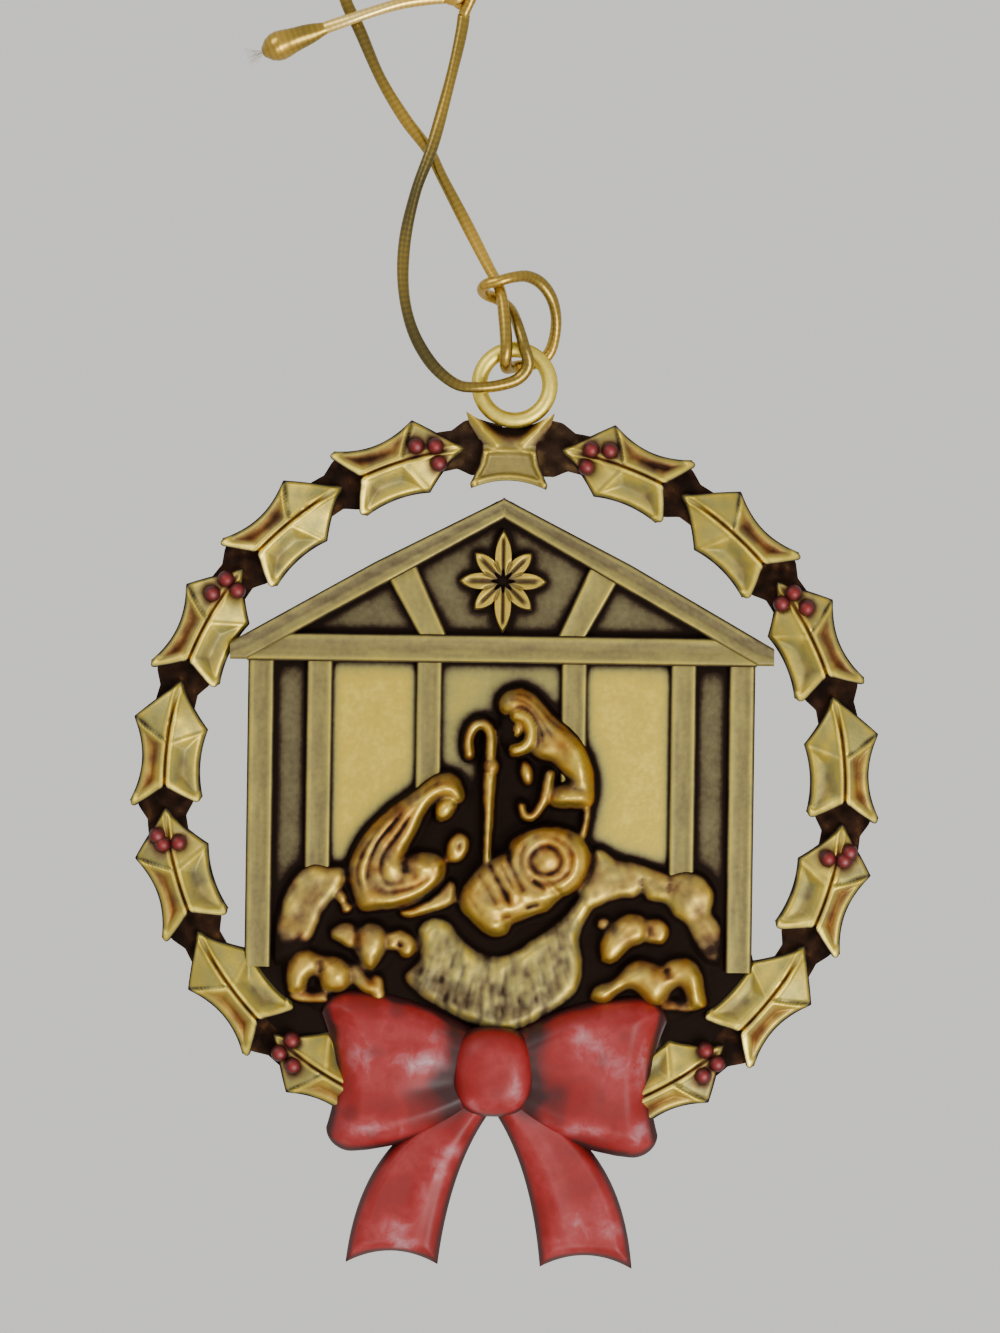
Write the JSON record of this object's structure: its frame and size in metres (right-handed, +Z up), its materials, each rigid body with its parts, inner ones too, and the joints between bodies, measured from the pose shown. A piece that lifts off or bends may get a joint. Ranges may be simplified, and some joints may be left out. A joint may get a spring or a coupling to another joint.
{
  "type": "nativity ornament",
  "caption": "Cast hanging ornament: a holly wreath around a stable with relief figures and a star, a bow at the foot and a cord loop through a ring on top.",
  "frame": {"origin": "hanging point: the middle of the cord at the top of its loop", "axes": "+Z up along the hanging ornament, -Y out of the relief's face, +X to the viewer's right"},
  "size_m": [0.0662, 0.0057, 0.1295],
  "materials": {
    "antiqued_brass": "antiqued brass plate: dark patina in the recesses, rubbed bright on the high places",
    "red_enamel": "glossy red enamel over the cast bow and the berries, worn paler on the high places",
    "metallic_cord": "twisted gold metallic cord"
  },
  "bodies": {
    "root": {"ornament_casting": "antiqued_brass", "hanging_cord": "metallic_cord", "cord_knot": "metallic_cord", "cord_tail": "metallic_cord", "tail_knot": "metallic_cord"}
  },
  "joints": []
}
